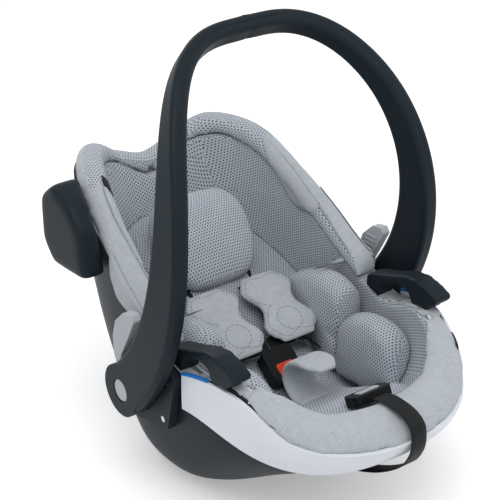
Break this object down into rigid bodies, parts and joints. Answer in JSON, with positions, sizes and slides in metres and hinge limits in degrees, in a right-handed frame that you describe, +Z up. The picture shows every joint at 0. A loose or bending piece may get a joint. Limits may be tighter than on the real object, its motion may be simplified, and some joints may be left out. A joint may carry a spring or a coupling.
{
  "type": "infant car seat",
  "caption": "Rear-facing infant car seat: rounded bucket shell with mesh padding, harness, belt guides, a side-impact pod and an arched carry handle that swings on side pivots.",
  "frame": {"origin": "on the floor at the middle of the shell's flat rest patch, straight below the axis of the carry handle", "axes": "+Z up; -Y towards the foot end; +Y towards the head end; X across the seat, along the handle's axis"},
  "size_m": [0.454, 0.652, 0.6384],
  "materials": {
    "shell_plastic": "fine grain, satin",
    "band_white": "satin paint",
    "foam": "expanded bead foam",
    "mesh_fabric": "three-dimensional air mesh",
    "plain_fabric": "fine plain weave",
    "webbing": "flat woven webbing",
    "lever_grey": "satin",
    "button_silver": "satin silver",
    "marker_blue": "satin",
    "button_red": "satin",
    "steel": "zinc plated",
    "buckle_black": "satin"
  },
  "bodies": {
    "seat": {"base_shell": "shell_plastic", "foam_liner": "foam", "seat_lining": "mesh_fabric", "front_band": "band_white", "belt_marker_left": "marker_blue", "belt_marker_right": "marker_blue", "foot_cover": "plain_fabric", "wing_cover_left": "plain_fabric", "wing_cover_right": "plain_fabric", "pivot_pin_left": "steel", "pivot_pin_right": "steel", "button_spring_left": "steel", "button_spring_right": "steel", "hinge_housing_left": "shell_plastic", "hinge_housing_right": "shell_plastic", "hinge_screws": "steel", "belt_guide_left": "shell_plastic", "belt_guide_right": "shell_plastic", "pod_socket": "shell_plastic", "seat_pad": "mesh_fabric", "back_pad": "mesh_fabric", "body_bolster_left": "mesh_fabric", "body_bolster_right": "mesh_fabric", "thigh_bolster_left": "mesh_fabric", "thigh_bolster_right": "mesh_fabric", "buckle": "buckle_black", "tongue_left": "buckle_black", "tongue_right": "buckle_black", "shoulder_strap_left": "webbing", "shoulder_strap_right": "webbing", "shoulder_pad_left": "plain_fabric", "shoulder_pad_right": "plain_fabric", "lap_strap_left": "webbing", "lap_strap_right": "webbing", "crotch_strap": "webbing", "crotch_pad": "plain_fabric", "adjuster_housing": "buckle_black", "adjuster_strap": "webbing"},
    "handle": {"handle_outer": "shell_plastic", "handle_inner": "shell_plastic", "lever_pin_left": "steel", "lever_pin_right": "steel"},
    "button_left": {"handle_button_left": "button_silver"},
    "button_right": {"handle_button_right": "button_silver"},
    "lever_left": {"release_lever_left": "lever_grey"},
    "lever_right": {"release_lever_right": "lever_grey"},
    "pod": {"side_impact_pod": "shell_plastic"},
    "headrest": {"headrest_plate": "shell_plastic", "head_pillow": "mesh_fabric"},
    "buckle_press": {"buckle_button": "button_red"},
    "adjuster_press": {"adjuster_button": "lever_grey"}
  },
  "joints": [
    {"name": "handle_swing", "type": "hinge", "parent": "seat", "child": "handle", "pos_m": [0, 0, 0.16], "axis": [1, 0, 0], "range_deg": [-38, 90]},
    {"name": "handle_button_left_press", "type": "slide", "parent": "handle", "child": "button_left", "axis": [1, 0, 0], "range_m": [0, 0.003], "stiffness_N_per_m": 800},
    {"name": "handle_button_right_press", "type": "slide", "parent": "handle", "child": "button_right", "axis": [-1, 0, 0], "range_m": [0, 0.003], "stiffness_N_per_m": 800},
    {"name": "release_lever_left_squeeze", "type": "hinge", "parent": "handle", "child": "lever_left", "pos_m": [-0.215, 0.006, 0.188], "axis": [1, 0, 0], "range_deg": [0, 5], "stiffness_Nm_per_rad": 1.5},
    {"name": "release_lever_right_squeeze", "type": "hinge", "parent": "handle", "child": "lever_right", "pos_m": [0.215, 0.006, 0.188], "axis": [1, 0, 0], "range_deg": [0, 5], "stiffness_Nm_per_rad": 1.5},
    {"name": "pod_unclip", "type": "slide", "parent": "seat", "child": "pod", "axis": [-1, 0, 0], "range_m": [0, 0.06]},
    {"name": "headrest_slide", "type": "slide", "parent": "seat", "child": "headrest", "axis": [0, 0.866, 0.5], "range_m": [0, 0.05]},
    {"name": "buckle_button_press", "type": "slide", "parent": "seat", "child": "buckle_press", "axis": [0, 0.5736, -0.8192], "range_m": [0, 0.004], "stiffness_N_per_m": 1500},
    {"name": "adjuster_button_press", "type": "slide", "parent": "seat", "child": "adjuster_press", "axis": [0, -0.454, -0.891], "range_m": [0, 0.004], "stiffness_N_per_m": 1500}
  ]
}
